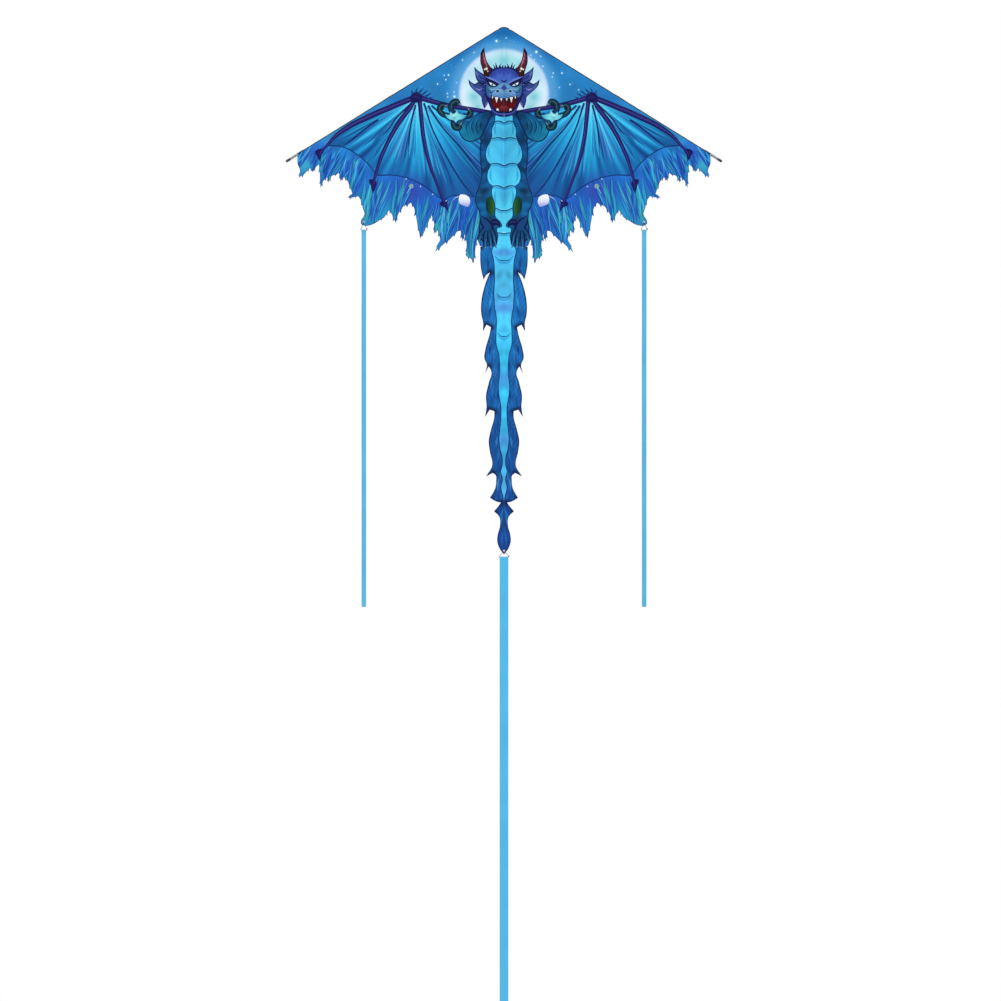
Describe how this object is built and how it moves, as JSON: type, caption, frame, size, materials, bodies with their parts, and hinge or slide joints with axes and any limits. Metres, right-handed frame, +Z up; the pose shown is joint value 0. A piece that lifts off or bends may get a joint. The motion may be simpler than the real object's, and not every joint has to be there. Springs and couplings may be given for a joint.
{
  "type": "dragon kite",
  "caption": "Single-line delta kite with a winged dragon sail, a folding rod frame, a keel with a tow eyelet, a cloth dragon tail and ribbon tails.",
  "frame": {"origin": "centre of the tow eyelet, on the keel in front of the sail", "axes": "+X towards the viewer's right along the wing span, +Y backwards from the printed front, +Z up the spine towards the nose"},
  "size_m": [1.403, 0.1308, 3.2029],
  "materials": {
    "sail_cloth": "printed ripstop nylon",
    "tail_cloth": "printed ripstop nylon",
    "keel_cloth": "plain ripstop nylon",
    "ribbon_cloth": "plain ripstop nylon ribbon",
    "hem": "black polyester edge tape, sewn",
    "rod": "pultruded glass-fibre rod, satin",
    "fitting": "moulded nylon, fine texture",
    "cap": "soft vinyl, matt",
    "grommet": "nickel-plated brass",
    "cord": "braided polyester cord"
  },
  "bodies": {
    "spine": {"spine_rod": "rod", "spine_caps": "cap", "spine_sleeve_upper": "hem", "spine_sleeve_lower": "hem", "centre_panel": "sail_cloth", "nose_binding": "hem", "nose_pocket": "hem", "foot_pocket": "hem", "tail_seam_tape": "hem", "centre_clip": "fitting"},
    "keel": {"keel_panel": "keel_cloth", "keel_patches": "hem", "keel_eyelet": "grommet"},
    "spreader": {"spreader_rod": "rod", "spreader_caps": "cap"},
    "left_wing": {"left_panel": "sail_cloth", "left_edge_rod": "rod", "left_upper_cap": "cap", "left_tip_nock": "cap", "left_sleeve_upper": "hem", "left_sleeve_lower": "hem", "left_edge_clip": "fitting", "left_stop_rings": "cap", "left_tip_loop": "cord", "left_tail_patch": "hem", "left_tail_eyelet": "grommet", "left_tail_loop": "cord"},
    "right_wing": {"right_panel": "sail_cloth", "right_edge_rod": "rod", "right_upper_cap": "cap", "right_tip_nock": "cap", "right_sleeve_upper": "hem", "right_sleeve_lower": "hem", "right_edge_clip": "fitting", "right_stop_rings": "cap", "right_tip_loop": "cord", "right_tail_patch": "hem", "right_tail_eyelet": "grommet", "right_tail_loop": "cord"},
    "left_ribbon_tail": {"left_ribbon": "ribbon_cloth"},
    "right_ribbon_tail": {"right_ribbon": "ribbon_cloth"},
    "dragon_tail": {"dragon_tail": "tail_cloth", "tail_eyelet": "grommet", "tail_loop": "cord"},
    "centre_ribbon_tail": {"centre_ribbon": "ribbon_cloth"}
  },
  "joints": [
    {"name": "left_wing_fold", "type": "hinge", "parent": "spine", "child": "left_wing", "pos_m": [-0.018, 0.10525, 0], "axis": [0, 0, 1], "range_deg": [0, 88]},
    {"name": "right_wing_fold", "type": "hinge", "parent": "spine", "child": "right_wing", "pos_m": [0.018, 0.10525, 0], "axis": [0, 0, 1], "range_deg": [-88, 0]},
    {"name": "keel_swing", "type": "hinge", "parent": "spine", "child": "keel", "pos_m": [0, 0.1044, 0], "axis": [0, 0, 1], "range_deg": [-80, 80]},
    {"name": "spreader_release", "type": "slide", "parent": "spine", "child": "spreader", "axis": [0, 1, 0], "range_m": [0, 0.014]},
    {"name": "dragon_tail_swing", "type": "hinge", "parent": "spine", "child": "dragon_tail", "pos_m": [0, 0.10525, -0.407], "axis": [1, 0, 0], "range_deg": [-45, 80]},
    {"name": "left_ribbon_swing", "type": "hinge", "parent": "left_wing", "child": "left_ribbon_tail", "pos_m": [-0.45, 0.10525, -0.354], "axis": [1, 0, 0], "range_deg": [-75, 75]},
    {"name": "right_ribbon_swing", "type": "hinge", "parent": "right_wing", "child": "right_ribbon_tail", "pos_m": [0.45, 0.10525, -0.354], "axis": [1, 0, 0], "range_deg": [-75, 75]},
    {"name": "centre_ribbon_swing", "type": "hinge", "parent": "dragon_tail", "child": "centre_ribbon_tail", "pos_m": [0, 0.10525, -1.404], "axis": [1, 0, 0], "range_deg": [-80, 80]}
  ]
}
